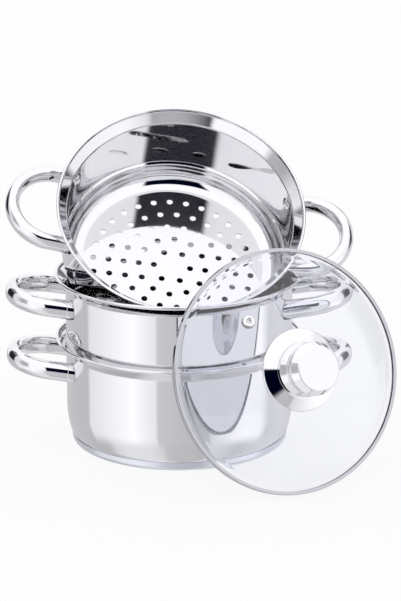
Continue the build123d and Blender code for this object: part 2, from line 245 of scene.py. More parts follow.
def add_camera():
    data = bpy.data.cameras.new("camera")
    data.sensor_width = 36
    data.lens = focal_px * data.sensor_width / picture_height
    ahead = Vector((sin(camera_yaw) * cos(camera_pitch), cos(camera_yaw) * cos(camera_pitch),
                    -sin(camera_pitch)))
    right = Vector((cos(camera_yaw), -sin(camera_yaw), 0))
    up = right.cross(ahead)
    right, up = (right * cos(camera_roll) + up * sin(camera_roll),
                 up * cos(camera_roll) - right * sin(camera_roll))
    camera = bpy.data.objects.new("camera", data)
    turn = Matrix((right, up, -ahead)).transposed().to_4x4()
    camera.matrix_world = moved(camera_place) @ turn
    bpy.context.scene.collection.objects.link(camera)
    bpy.context.scene.camera = camera


# Helpers for nodes and colours
def add_node(tree, kind, inputs=None, **settings):
    """A node with its settings, and its inputs set or linked by name or number.

    An input that is given another node is linked to that node's first output.
    """
    made = tree.nodes.new(kind)
    for name, value in settings.items():
        setattr(made, name, value)
    for name, value in (inputs or {}).items():
        if isinstance(value, bpy.types.Node):
            value = value.outputs[0]
        if isinstance(value, bpy.types.NodeSocket):
            tree.links.new(value, made.inputs[name])
        else:
            made.inputs[name].default_value = value
    return made


def srgb(code):
    """An sRGB hex colour as linear values."""
    parts = [int(code[i:i + 2], 16) / 255 for i in (1, 3, 5)]
    linear = [v / 12.92 if v <= 0.04045 else ((v + 0.055) / 1.055) ** 2.4 for v in parts]
    return (*linear, 1.0)


# Materials
def new_material(name):
    material = bpy.data.materials.new(name)
    material.use_nodes = True
    tree = material.node_tree
    tree.nodes.clear()
    return material, tree


def own_coordinates(tree, place):
    """Object coordinates turned into a piece's own frame, so that its axis is Z."""
    back = place.inverted()
    source = add_node(tree, "ShaderNodeTexCoord")
    return add_node(tree, "ShaderNodeMapping", {
        "Vector": source.outputs["Object"],
        "Location": back.to_translation(),
        "Rotation": back.to_euler(),
    }).outputs["Vector"]


def turned_coordinates(tree, place):
    """Distance from a piece's axis with height along it, in metres, and the height alone."""
    own = add_node(tree, "ShaderNodeSeparateXYZ", {0: own_coordinates(tree, place)})
    flat = add_node(tree, "ShaderNodeCombineXYZ", {0: own.outputs[0], 1: own.outputs[1]})
    radius = add_node(tree, "ShaderNodeVectorMath", {0: flat}, operation="LENGTH")
    rings = add_node(tree, "ShaderNodeCombineXYZ", {0: radius.outputs["Value"], 1: own.outputs[2]})
    return rings, own.outputs[2]


def polished_stainless(name, place, colour="#e4e4e6", hazy_below=None):
    """18/10 stainless sheet, spun and mirror polished on a buffing wheel.

    It mirrors the studio sharply. The wheel leaves hair lines round the piece, which are far
    too fine to show, so they are drawn wider apart and very shallow, and handling leaves
    wide faint smears that take the edge off the reflections. Below the height hazy_below, where
    the wheel doesn't reach, the press's dull finish lays a pale haze over the mirror.
    """
    line_spacing = 1.4 * MM
    smear_size = 38 * MM
    sheen = 0.045
    material, tree = new_material(name)
    rings, height = turned_coordinates(tree, place)
    hair = add_node(tree, "ShaderNodeTexNoise", {
        "Vector": rings, "Scale": 1 / line_spacing, "Detail": 2.0, "Roughness": 0.55})
    smears = add_node(tree, "ShaderNodeTexNoise", {
        "Vector": own_coordinates(tree, place), "Scale": 1 / smear_size, "Detail": 3.0})
    gloss = add_node(tree, "ShaderNodeMapRange", {
        "Value": smears, "From Min": 0.35, "From Max": 0.7,
        "To Min": sheen * 0.6, "To Max": sheen * 1.5})
    bump = add_node(tree, "ShaderNodeBump", {
        "Strength": 0.02, "Distance": 0.02 * MM, "Height": hair})
    surface = add_node(tree, "ShaderNodeBsdfPrincipled", {
        "Base Color": srgb(colour), "Metallic": 1.0, "Roughness": gloss, "Normal": bump})
    if hazy_below is not None:
        haze = add_node(tree, "ShaderNodeBsdfPrincipled", {
            "Base Color": srgb(colour), "Metallic": 1.0, "Roughness": haze_roughness})
        low_down = add_node(tree, "ShaderNodeMapRange", {
            "Value": height, "From Min": (hazy_below - haze_edge) * MM, "From Max": hazy_below * MM,
            "To Min": haze_share, "To Max": 0.0}, interpolation_type="SMOOTHSTEP")
        surface = add_node(tree, "ShaderNodeMixShader", {0: low_down, 1: surface, 2: haze})
    add_node(tree, "ShaderNodeOutputMaterial", {"Surface": surface})
    return material


def satin_faced_stainless(name, place, face_height):
    """Deep-drawn stainless, polished on its side and turned satin on its flat face.

    Up at face_height the lathe's rings spread the light into an even pale glow.
    """
    ring_spacing = 0.5 * MM
    material, tree = new_material(name)
    rings, height = turned_coordinates(tree, place)
    on_face = add_node(tree, "ShaderNodeMapRange", {
        "Value": height, "From Min": (face_height - satin_start) * MM,
        "From Max": (face_height - satin_full) * MM, "To Min": 0.0, "To Max": 1.0},
        interpolation_type="SMOOTHSTEP")
    grain = add_node(tree, "ShaderNodeTexNoise", {
        "Vector": rings, "Scale": 1 / ring_spacing, "Detail": 3.0, "Roughness": 0.7})
    gloss = add_node(tree, "ShaderNodeMapRange", {"Value": on_face, "To Min": 0.04, "To Max": 0.34})
    depth = add_node(tree, "ShaderNodeMath", {
        0: grain, 1: on_face}, operation="MULTIPLY")
    bump = add_node(tree, "ShaderNodeBump", {
        "Strength": 0.12, "Distance": 0.05 * MM, "Height": depth})
    steel = add_node(tree, "ShaderNodeBsdfPrincipled", {
        "Base Color": srgb("#ececee"), "Metallic": 1.0, "Roughness": gloss, "Normal": bump})
    add_node(tree, "ShaderNodeOutputMaterial", {"Surface": steel})
    return material


def satin_stainless(name, place, colour="#d9dade"):
    """18/10 stainless sheet, left satin as it comes from the press or the lathe.

    It shows soft streaks round the piece and blurs what it reflects.
    """
    streak_spacing = 0.6 * MM
    material, tree = new_material(name)
    rings, _ = turned_coordinates(tree, place)
    grain = add_node(tree, "ShaderNodeTexNoise", {
        "Vector": rings, "Scale": 1 / streak_spacing, "Detail": 3.0, "Roughness": 0.7})
    gloss = add_node(tree, "ShaderNodeMapRange", {
        "Value": grain, "From Min": 0.3, "From Max": 0.7, "To Min": 0.16, "To Max": 0.3})
    bump = add_node(tree, "ShaderNodeBump", {
        "Strength": 0.08, "Distance": 0.05 * MM, "Height": grain})
    steel = add_node(tree, "ShaderNodeBsdfPrincipled", {
        "Base Color": srgb(colour), "Metallic": 1.0, "Roughness": gloss, "Normal": bump})
    add_node(tree, "ShaderNodeOutputMaterial", {"Surface": steel})
    return material


def rolled_aluminium(name):
    """Aluminium plate as rolled: a dull, even grey metal with faint straight rolling marks."""
    mark_spacing = 0.9 * MM
    material, tree = new_material(name)
    source = add_node(tree, "ShaderNodeTexCoord")
    along = add_node(tree, "ShaderNodeMapping", {
        "Vector": source.outputs["Object"], "Scale": (0.03, 1.0, 1.0)})
    marks = add_node(tree, "ShaderNodeTexNoise", {
        "Vector": along.outputs["Vector"], "Scale": 1 / mark_spacing, "Detail": 2.0})
    gloss = add_node(tree, "ShaderNodeMapRange", {"Value": marks, "To Min": 0.32, "To Max": 0.5})
    metal = add_node(tree, "ShaderNodeBsdfPrincipled", {
        "Base Color": srgb("#d2d3d6"), "Metallic": 1.0, "Roughness": gloss})
    add_node(tree, "ShaderNodeOutputMaterial", {"Surface": metal})
    return material


def tempered_glass(name, place):
    """Soda-lime glass, pressed to a dome and tempered: clear, with a cold tint in its depth."""
    ripple_size = 45 * MM
    material, tree = new_material(name)
    ripples = add_node(tree, "ShaderNodeTexNoise", {
        "Vector": own_coordinates(tree, place), "Scale": 1 / ripple_size, "Detail": 1.0})
    bump = add_node(tree, "ShaderNodeBump", {
        "Strength": 0.03, "Distance": 0.4 * MM, "Height": ripples})
    glass = add_node(tree, "ShaderNodeBsdfPrincipled", {
        "Base Color": srgb("#f7f8fd"), "Roughness": 0.0, "IOR": 1.52, "Specular IOR Level": 0.2,
        "Transmission Weight": 1.0, "Normal": bump})
    add_node(tree, "ShaderNodeOutputMaterial", {"Surface": glass})
    return material


def moulded_silicone(name):
    """Silicone rubber, compression moulded: milky, soft-looking, with a dry sheen."""
    skin_grain = 0.8 * MM
    material, tree = new_material(name)
    source = add_node(tree, "ShaderNodeTexCoord")
    skin = add_node(tree, "ShaderNodeTexNoise", {
        "Vector": source.outputs["Object"], "Scale": 1 / skin_grain, "Detail": 2.0})
    bump = add_node(tree, "ShaderNodeBump", {
        "Strength": 0.2, "Distance": 0.05 * MM, "Height": skin})
    rubber = add_node(tree, "ShaderNodeBsdfPrincipled", {
        "Base Color": srgb("#dcdcd6"), "Roughness": 0.55, "IOR": 1.41,
        "Subsurface Weight": 0.2, "Subsurface Scale": 1.5 * MM, "Normal": bump})
    add_node(tree, "ShaderNodeOutputMaterial", {"Surface": rubber})
    return material


def moulded_phenolic(name):
    """Phenolic resin, hot moulded: near-black, hard, with the mould's fine matte grain."""
    mould_grain = 0.5 * MM
    material, tree = new_material(name)
    source = add_node(tree, "ShaderNodeTexCoord")
    grain = add_node(tree, "ShaderNodeTexNoise", {
        "Vector": source.outputs["Object"], "Scale": 1 / mould_grain, "Detail": 3.0})
    bump = add_node(tree, "ShaderNodeBump", {
        "Strength": 0.25, "Distance": 0.05 * MM, "Height": grain})
    resin = add_node(tree, "ShaderNodeBsdfPrincipled", {
        "Base Color": srgb("#1b1b1c"), "Roughness": 0.42, "IOR": 1.6,
        "Normal": bump})
    add_node(tree, "ShaderNodeOutputMaterial", {"Surface": resin})
    return material


steel_base = polished_stainless("polished_stainless_base", base_frame)
steel_middle = polished_stainless("polished_stainless_middle", middle_frame, hazy_below=haze_height)
steel_top = polished_stainless("polished_stainless_top", top_frame, hazy_below=haze_height)
steel_lid = polished_stainless("polished_stainless_lid", lid_frame)
# The band is the same steel, given a darker colour: painted shade for the dark that its edge mirrors
band_steel_painted_dark = polished_stainless("polished_stainless_band_painted_shade", lid_frame, "#bbbdc1")
steel_cap = satin_faced_stainless("satin_faced_stainless_cap", lid_frame, cap_face)
steel_cover = satin_stainless("satin_stainless_cover", floor_frame, "#dfe2e9")
steel_screw = satin_stainless("satin_stainless_screw", lid_frame)
core_aluminium = rolled_aluminium("rolled_aluminium_core")
glass_material = tempered_glass("tempered_glass_lid", lid_frame)
silicone = moulded_silicone("moulded_silicone_seal")
phenolic = moulded_phenolic("moulded_phenolic_insert")


# Outlines
def unit(a, b):
    length = hypot(b[0] - a[0], b[1] - a[1])
    return (b[0] - a[0]) / length, (b[1] - a[1]) / length


def rounded(points, bends):
    """The outline through the points, each inner corner turned to its bend's radius."""
    runs = [points[0]]
    for before, corner, after, bend in zip(points, points[1:], points[2:], bends):
        into, out = unit(before, corner), unit(corner, after)
        turn = atan2(into[0] * out[1] - into[1] * out[0], into[0] * out[0] + into[1] * out[1])
        if bend <= 0:
            runs += straight(runs[-1], corner)
            continue
        cut = bend * tan(abs(turn) / 2)
        side = 1 if turn > 0 else -1
        start = (corner[0] - into[0] * cut, corner[1] - into[1] * cut)
        centre = (start[0] - into[1] * bend * side, start[1] + into[0] * bend * side)
        runs += straight(runs[-1], start)[:-1]
        steps = max(2, round(abs(turn) / arc_step), round(abs(turn) * bend / arc_chord))
        for i in range(steps + 1):
            a = turn * i / steps
            dx, dz = start[0] - centre[0], start[1] - centre[1]
            runs.append((centre[0] + dx * cos(a) - dz * sin(a), centre[1] + dx * sin(a) + dz * cos(a)))
    return runs + straight(runs[-1], points[-1])


def straight(a, b):
    """A straight run up to b, with two more points near its ends, so that it shades flat."""
    if hypot(b[0] - a[0], b[1] - a[1]) < 8 * support:
        return [b]
    dx, dz = unit(a, b)
    return [(a[0] + dx * support, a[1] + dz * support), (b[0] - dx * support, b[1] - dz * support), b]


def shifted(points, amount):
    """The corners of an outline moved to the right of its travel."""
    moved_points = []
    for i, point in enumerate(points):
        into = unit(points[i - 1], point) if i else unit(point, points[1])
        out = unit(point, points[i + 1]) if i + 1 < len(points) else into
        normal_in, normal_out = (into[1], -into[0]), (out[1], -out[0])
        share = 1 + normal_in[0] * normal_out[0] + normal_in[1] * normal_out[1]
        moved_points.append(tuple(
            point[k] + amount * (normal_in[k] + normal_out[k]) / share for k in (0, 1)))
    return moved_points


def pressed(points, bends, thickness):
    """Both faces of a pressed sheet, the first along the points and the second back again."""
    other_bends = []
    for before, corner, after, bend in zip(points, points[1:], points[2:], bends):
        into, out = unit(before, corner), unit(corner, after)
        side = 1 if into[0] * out[1] - into[1] * out[0] > 0 else -1
        other_bends.append(bend + side * thickness)
    return rounded(points, bends), rounded(shifted(points, thickness), other_bends)[::-1]


def closed_sheet(points, bends, thickness):
    outside, inside = pressed(points, bends, thickness)
    return outside + inside


# Meshes
def lathe(outline, closed):
    """The outline, as radius and height in millimetres, turned about Z."""
    mesh = bmesh.new()
    rings = []
    for radius, height in outline:
        if radius < seam:
            rings.append([mesh.verts.new((0, 0, height * MM))] * around)
            continue
        rings.append([
            mesh.verts.new((radius * MM * cos(2 * pi * i / around),
                            radius * MM * sin(2 * pi * i / around), height * MM))
            for i in range(around)])
    for a, b in zip(rings, rings[1:] + (rings[:1] if closed else [])):
        for i in range(around):
            j = (i + 1) % around
            corners = list(dict.fromkeys((a[i], a[j], b[j], b[i])))
            if len(corners) > 2:
                mesh.faces.new(corners)
    bmesh.ops.recalc_face_normals(mesh, faces=mesh.faces)
    return mesh


def as_mesh(built, name):
    mesh = bpy.data.meshes.new(name)
    built.to_mesh(mesh)
    built.free()
    return mesh


def made_by_nodes(source, tree, values, wall=None):
    """The plain mesh that a node tree makes of a mesh or curve, its inputs set by name.

    With a wall, the tree's skin is the outside of a piece that is so thick.
    """
    scene_object = bpy.data.objects.new("source", source)
    bpy.context.scene.collection.objects.link(scene_object)
    modifier = scene_object.modifiers.new("nodes", "NODES")
    modifier.node_group = tree
    for item in tree.interface.items_tree:
        if item.name in values:
            modifier[item.identifier] = values[item.name]
    if wall:
        thick = scene_object.modifiers.new("wall", "SOLIDIFY")
        thick.thickness, thick.offset = wall, -1
    bpy.context.view_layer.update()
    seen = scene_object.evaluated_get(bpy.context.evaluated_depsgraph_get())
    mesh = bpy.data.meshes.new_from_object(seen)
    bpy.data.objects.remove(scene_object)
    return mesh


def joined(meshes):
    """Several meshes as one, with the seams between them closed."""
    whole = bmesh.new()
    for mesh in meshes:
        whole.from_mesh(mesh)
    bmesh.ops.remove_doubles(whole, verts=whole.verts, dist=seam * MM)
    bmesh.ops.recalc_face_normals(whole, faces=whole.faces)
    return as_mesh(whole, meshes[0].name)


def add_piece(name, mesh, place, body, nodes, material):
    """A finished piece: its mesh set in place, smooth but for its edges, and riding its body."""
    mesh.transform(place)
    mesh.materials.clear()
    mesh.materials.append(material)
    mesh.polygons.foreach_set("material_index", [0] * len(mesh.polygons))
    mesh.polygons.foreach_set("use_smooth", [True] * len(mesh.polygons))
    mesh.set_sharp_from_angle(angle=crease)
    mesh.name = name
    piece = bpy.data.objects.new(name, mesh)
    bpy.context.scene.collection.objects.link(piece)
    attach(piece, body)
    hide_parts(*nodes)


# Geometry node trees
def new_tree(name, inputs):
    """An empty tree with named inputs, as (name, socket type, default)."""
    tree = bpy.data.node_groups.new(name, "GeometryNodeTree")
    tree.interface.new_socket("Geometry", in_out="INPUT", socket_type="NodeSocketGeometry")
    tree.interface.new_socket("Geometry", in_out="OUTPUT", socket_type="NodeSocketGeometry")
    for label, kind, value in inputs:
        socket = tree.interface.new_socket(label, in_out="INPUT", socket_type=kind)
        if value is not None:
            socket.default_value = value
    return tree, add_node(tree, "NodeGroupInput").outputs


def end_tree(tree, geometry, material):
    """Every tree ends in real geometry with its material set."""
    real = add_node(tree, "GeometryNodeRealizeInstances", {"Geometry": geometry})
    dressed = add_node(tree, "GeometryNodeSetMaterial", {"Geometry": real, "Material": material})
    add_node(tree, "NodeGroupOutput", {"Geometry": dressed})


def perforated_plate_tree():
    """A flat disc with rings of holes, each ring with so many more than the one inside it."""
    tree, given = new_tree("perforated_plate", [
        ("Plate Radius", "NodeSocketFloat", plate_radius * MM),
        ("Sheet", "NodeSocketFloat", sheet * MM),
        ("Hole Radius", "NodeSocketFloat", hole_radius * MM),
        ("First Ring Radius", "NodeSocketFloat", first_ring_radius * MM),
        ("Ring Pitch", "NodeSocketFloat", ring_pitch * MM),
        ("Rings", "NodeSocketInt", ring_count),
        ("Holes In First Ring", "NodeSocketInt", holes_in_first_ring),
        ("Material", "NodeSocketMaterial", None),
    ])
    first = given["Holes In First Ring"]
    half_first = add_node(tree, "ShaderNodeMath", {0: first, 1: 0.5}, operation="MULTIPLY")
    rings_and_one = add_node(tree, "ShaderNodeMath", {0: given["Rings"], 1: 1.0}, operation="ADD")
    all_pairs = add_node(tree, "ShaderNodeMath", {
        0: given["Rings"], 1: rings_and_one}, operation="MULTIPLY")
    count = add_node(tree, "ShaderNodeMath", {0: all_pairs, 1: half_first}, operation="MULTIPLY")
    # Ring k starts at hole first * k * (k + 1) / 2, so k comes from a square root, in which a
    # shade over 1 keeps a ring's first hole from being counted to the ring before it
    index = add_node(tree, "GeometryNodeInputIndex")
    eightfold = add_node(tree, "ShaderNodeMath", {0: index, 1: 8.0}, operation="MULTIPLY")
    by_first = add_node(tree, "ShaderNodeMath", {0: eightfold, 1: first}, operation="DIVIDE")
    under = add_node(tree, "ShaderNodeMath", {0: by_first, 1: 1.0001}, operation="ADD")
    root = add_node(tree, "ShaderNodeMath", {0: under}, operation="SQRT")
    less_one = add_node(tree, "ShaderNodeMath", {0: root, 1: 1.0}, operation="SUBTRACT")
    halved = add_node(tree, "ShaderNodeMath", {0: less_one, 1: 0.5}, operation="MULTIPLY")
    ring = add_node(tree, "ShaderNodeMath", {0: halved}, operation="FLOOR")
    ring_and_one = add_node(tree, "ShaderNodeMath", {0: ring, 1: 1.0}, operation="ADD")
    pairs = add_node(tree, "ShaderNodeMath", {0: ring, 1: ring_and_one}, operation="MULTIPLY")
    earlier = add_node(tree, "ShaderNodeMath", {0: pairs, 1: half_first}, operation="MULTIPLY")
    in_ring = add_node(tree, "ShaderNodeMath", {0: first, 1: ring_and_one}, operation="MULTIPLY")
    place_in_ring = add_node(tree, "ShaderNodeMath", {0: index, 1: earlier}, operation="SUBTRACT")
    turns = add_node(tree, "ShaderNodeMath", {0: place_in_ring, 1: in_ring}, operation="DIVIDE")
    angle = add_node(tree, "ShaderNodeMath", {0: turns, 1: 2 * pi}, operation="MULTIPLY")
    out = add_node(tree, "ShaderNodeMath", {0: ring, 1: given["Ring Pitch"]}, operation="MULTIPLY")
    radius = add_node(tree, "ShaderNodeMath", {0: given["First Ring Radius"], 1: out}, operation="ADD")
    cosine = add_node(tree, "ShaderNodeMath", {0: angle}, operation="COSINE")
    sine = add_node(tree, "ShaderNodeMath", {0: angle}, operation="SINE")
    x = add_node(tree, "ShaderNodeMath", {0: radius, 1: cosine}, operation="MULTIPLY")
    y = add_node(tree, "ShaderNodeMath", {0: radius, 1: sine}, operation="MULTIPLY")
    spot = add_node(tree, "ShaderNodeCombineXYZ", {0: x, 1: y})
    points = add_node(tree, "GeometryNodePoints", {"Count": count, "Position": spot})
    hole = add_node(tree, "GeometryNodeCurvePrimitiveCircle", {
        "Resolution": around_hole, "Radius": given["Hole Radius"]})
    holes = add_node(tree, "GeometryNodeInstanceOnPoints", {"Points": points, "Instance": hole})
    real = add_node(tree, "GeometryNodeRealizeInstances", {"Geometry": holes})
    rim = add_node(tree, "GeometryNodeCurvePrimitiveCircle", {
        "Resolution": around, "Radius": given["Plate Radius"]})
    both = add_node(tree, "GeometryNodeJoinGeometry")
    tree.links.new(real.outputs[0], both.inputs[0])
    tree.links.new(rim.outputs["Curve"], both.inputs[0])
    face = add_node(tree, "GeometryNodeFillCurve", {"Curve": both}, mode="TRIANGLES")
    lift = add_node(tree, "ShaderNodeCombineXYZ", {2: given["Sheet"]})
    raised = add_node(tree, "GeometryNodeExtrudeMesh", {
        "Mesh": face, "Offset": lift, "Offset Scale": 1.0, "Individual": False}, mode="FACES")
    place = add_node(tree, "GeometryNodeInputPosition")
    flat = add_node(tree, "ShaderNodeVectorMath", {
        0: place, 1: (1.0, 1.0, 0.0)}, operation="MULTIPLY")
    away = add_node(tree, "ShaderNodeVectorMath", {0: flat}, operation="LENGTH")
    inside_rim = add_node(tree, "ShaderNodeMath", {
        0: given["Plate Radius"], 1: given["Sheet"]}, operation="SUBTRACT")
    at_rim = add_node(tree, "FunctionNodeCompare", {
        0: away.outputs["Value"], 1: inside_rim}, data_type="FLOAT", operation="GREATER_THAN")
    is_side = add_node(tree, "FunctionNodeBooleanMath", {
        0: raised.outputs["Side"], 1: at_rim}, operation="AND")
    open_rim = add_node(tree, "GeometryNodeDeleteGeometry", {
        "Geometry": raised.outputs["Mesh"], "Selection": is_side},
        domain="FACE", mode="ONLY_FACE")
    down = add_node(tree, "GeometryNodeFlipFaces", {"Mesh": face})
    plate = add_node(tree, "GeometryNodeJoinGeometry")
    tree.links.new(down.outputs[0], plate.inputs[0])
    tree.links.new(open_rim.outputs[0], plate.inputs[0])
    end_tree(tree, plate, given["Material"])
    return tree


def bent_tube_tree():
    """An oval tube along a path whose corners are rounded in a flat plane."""
    tree, given = new_tree("bent_tube", [
        ("Bend Radius", "NodeSocketFloat", leg_half_span * MM),
        ("Tube Width", "NodeSocketFloat", tube_width * MM),
        ("Tube Height", "NodeSocketFloat", tube_height * MM),
        ("Material", "NodeSocketMaterial", None),
    ])
    path = add_node(tree, "GeometryNodeFilletCurve", {
        "Curve": given["Geometry"], "Radius": given["Bend Radius"], "Count": loop_steps,
        "Limit Radius": True}, mode="POLY")
    level = add_node(tree, "GeometryNodeSetCurveNormal", {"Curve": path}, mode="Z_UP")
    ring = add_node(tree, "GeometryNodeCurvePrimitiveCircle", {
        "Resolution": around_tube, "Radius": 0.5})
    size = add_node(tree, "ShaderNodeCombineXYZ", {
        0: given["Tube Width"], 1: given["Tube Height"], 2: 1.0})
    oval = add_node(tree, "GeometryNodeTransform", {"Geometry": ring, "Scale": size})
    tube = add_node(tree, "GeometryNodeCurveToMesh", {
        "Curve": level, "Profile Curve": oval, "Fill Caps": False})
    end_tree(tree, tube, given["Material"])
    return tree


def four_rivets_tree():
    """The rivet that comes in, set four times round the wall at the handles' feet."""
    tree, given = new_tree("four_rivets", [
        ("Foot Bearing", "NodeSocketFloat", foot_bearing),
        ("Drop", "NodeSocketFloat", handle_drop * MM),
        ("Material", "NodeSocketMaterial", None),
    ])
    # Two at each handle, one to each side of it
    index = add_node(tree, "GeometryNodeInputIndex")
    far_handle = add_node(tree, "ShaderNodeMath", {0: index, 1: 1.5}, operation="GREATER_THAN")
    handle_bearing = add_node(tree, "ShaderNodeMath", {0: far_handle, 1: pi}, operation="MULTIPLY")
    odd = add_node(tree, "ShaderNodeMath", {0: index, 1: 2.0}, operation="MODULO")
    doubled = add_node(tree, "ShaderNodeMath", {0: odd, 1: 2.0}, operation="MULTIPLY")
    side = add_node(tree, "ShaderNodeMath", {0: doubled, 1: 1.0}, operation="SUBTRACT")
    aside = add_node(tree, "ShaderNodeMath", {0: side, 1: given["Foot Bearing"]}, operation="MULTIPLY")
    bearing = add_node(tree, "ShaderNodeMath", {0: handle_bearing, 1: aside}, operation="ADD")
    height = add_node(tree, "ShaderNodeMath", {0: given["Drop"], 1: -1.0}, operation="MULTIPLY")
    down = add_node(tree, "ShaderNodeCombineXYZ", {2: height})
    points = add_node(tree, "GeometryNodePoints", {"Count": 4, "Position": down})
    spin = add_node(tree, "ShaderNodeCombineXYZ", {2: bearing})
    turn = add_node(tree, "FunctionNodeEulerToRotation", {0: spin})
    set_out = add_node(tree, "GeometryNodeInstanceOnPoints", {
        "Points": points, "Instance": given["Geometry"], "Rotation": turn})
    end_tree(tree, set_out, given["Material"])
    return tree


# Vessels
def rolled_lip():
    """The roll, from the inside of the wall over its top and down to the outside."""
    centre = lip_radius - bead_radius
    angles = [pi - radians(lip_roll) * i / roll_steps for i in range(roll_steps + 1)]
    return [(centre + bead_radius * cos(a), bead_radius * (sin(a) - 1)) for a in angles]


def vessel_outline(lower_points, lower_bends, stop_radius):
    """Inside of the floor, up the wall, over the lip and down again to the floor's underside."""
    points = [
        (flare_outer_radius, -bead_radius),
        (flare_outer_radius, -flare_straight),
        (body_radius, -flare_height),
        *lower_points,
    ]
    outside, inside = pressed(points, [flare_bend, shoulder_bend, *lower_bends], sheet)
    centre = lip_radius - bead_radius
    outside = [(r, z) for r, z in outside
               if hypot(r - centre, z + bead_radius) > bead_radius + least_step]
    outline = inside[:-1] + rolled_lip() + outside
    if stop_radius:
        outline = [p for p in outline if p[0] > stop_radius + least_step]
        floor_inside, floor_outside = outline[0][1], outline[-1][1]
        outline = [(stop_radius, floor_inside)] + outline + [(stop_radius, floor_outside)]
    return outline


def base_shell_mesh():
    floor = pot_floor_height - pot_height
    lower_points = [
        (body_radius, taper_height - pot_height),
        (pot_corner_radius, floor),
        (0, floor),
    ]
    outline = vessel_outline(lower_points, [taper_bend, pot_corner_bend], 0)
    return as_mesh(lathe(outline, closed=False), "base_shell")


def steamer_shell_mesh():
    inner = body_radius - step_inset
    lower_points = [
        (body_radius, -step_depth),
        (inner, -step_depth - step_inset),
        (inner, -steamer_bottom),
        (0, -steamer_bottom),
    ]
    outline = vessel_outline(lower_points, [step_bend, step_bend, steamer_corner_bend], plate_radius)
    wall = as_mesh(lathe(outline, closed=False), "steamer_wall")
    plate = made_by_nodes(bpy.data.meshes.new("plate"), perforated_plate, {
        "Plate Radius": plate_radius * MM, "Sheet": sheet * MM, "Hole Radius": hole_radius * MM,
        "First Ring Radius": first_ring_radius * MM, "Ring Pitch": ring_pitch * MM,
        "Rings": ring_count, "Holes In First Ring": holes_in_first_ring, "Material": steel_base})
    plate.transform(moved((0, 0, -steamer_bottom)))
    return joined([wall, plate])


def handle_mesh():
    """One loop on the +X side, its ends on the collars."""
    far = leg_length + leg_half_span
    corners = [
        (foot_length, -leg_half_span),
        (far, -leg_half_span),
        (far, leg_half_span),
        (foot_length, leg_half_span),
    ]
    curve = bpy.data.curves.new("handle_path", "CURVE")
    curve.dimensions = "3D"
    line = curve.splines.new("POLY")
    line.points.add(len(corners) - 1)
    for point, (along, across) in zip(line.points, corners):
        point.co = (along * MM, across * MM, 0, 1)
    mesh = made_by_nodes(curve, bent_tube, {
        "Bend Radius": leg_half_span * MM, "Tube Width": tube_width * MM,
        "Tube Height": tube_height * MM, "Material": steel_base}, wall=tube_wall * MM)
    mesh.transform(moved((wall_reach, 0, -handle_drop)) @ turned(-handle_rise, "Y"))
    return mesh


def collars_mesh():
    """The two collars of the loop on the +X side, each an oval ring from the tube to the wall.

    Their rims are rounded, and a fine groove is left where they meet the wall.
    """
    rise = radians(handle_rise)
    reach = body_radius + fit_gap
    mesh = bmesh.new()
    for side in (1, -1):
        rows = []
        for row in range(collar_rows):
            ring = []
            for i in range(around_collar):
                bearing = 2 * pi * i / around_collar
                overhang, from_tube, from_wall = collar_profile(row)
                across = side * leg_half_span + (tube_width / 2 + overhang) * cos(bearing)
                high = (tube_height / 2 + overhang) * sin(bearing)
                wall = (sqrt(reach**2 - across**2) - wall_reach + high * sin(rise)) / cos(rise)
                along = wall + from_wall if from_tube is None else foot_length - from_tube
                ring.append(mesh.verts.new((along * MM, across * MM, high * MM)))
            rows.append(ring)
        for a, b in zip(rows, rows[1:] + rows[:1]):
            for i in range(around_collar):
                j = (i + 1) % around_collar
                mesh.faces.new((a[i], a[j], b[j], b[i]))
    bmesh.ops.recalc_face_normals(mesh, faces=mesh.faces)
    made = as_mesh(mesh, "collars")
    made.transform(moved((wall_reach, 0, -handle_drop)) @ turned(-handle_rise, "Y"))
    return made


def collar_profile(row):
    """Overhang past the tube at a row of the collar, and how far it is from the tube or wall."""
    if row <= collar_steps:
        turn = pi / 2 * row / collar_steps
        return foot_overhang - foot_bend * (1 - sin(turn)), foot_bend * (1 - cos(turn)), None
    if row <= 2 * collar_steps + 1:
        turn = pi / 2 * (row - collar_steps - 1) / collar_steps
        return foot_overhang - foot_groove * (1 - cos(turn)), None, foot_groove * (1 - sin(turn))
    if row == 2 * collar_steps + 2:
        return -tube_wall, None, 0.0
    return -tube_wall, 0.0, None


def rivets_mesh():
    """Four rivets, each a shallow dome on the inside of the wall with its shank in the foot."""
    wall = body_radius - sheet - fit_gap
    ball = (rivet_head_radius**2 + rivet_head_height**2) / (2 * rivet_head_height)
    spread = asin(rivet_head_radius / ball)
    steps = 12
    dome = [(ball * sin(spread * i / steps), ball - rivet_head_height - ball * cos(spread * i / steps))
            for i in range(steps + 1)]
    end = body_radius + rivet_grip - wall
    shank = [(rivet_radius, 0.0), (rivet_radius, end), (0, end)]
    one = as_mesh(lathe(dome + shank, closed=False), "rivet")
    one.transform(moved((wall, 0, 0)) @ turned(90, "Y"))
    return made_by_nodes(one, four_rivets, {
        "Foot Bearing": foot_bearing, "Drop": handle_drop * MM, "Material": steel_base})


def core_cover_mesh():
    points = [
        (cover_edge_radius, cover_height),
        (cover_edge_radius - cover_corner_inset, 0),
        (0, 0),
    ]
    return as_mesh(lathe(closed_sheet(points, [cover_bend], cover_sheet), closed=True), "cover")


# Lid
def dome_arc(first_radius, last_radius, inset):
    ball = dome_radius - inset
    a, b = asin(first_radius / ball), asin(last_radius / ball)
    steps = max(2, round(abs(b - a) / dome_step))
    return [(ball * sin(a + (b - a) * i / steps),
             apex_height - dome_radius + ball * cos(a + (b - a) * i / steps)) for i in range(steps + 1)]


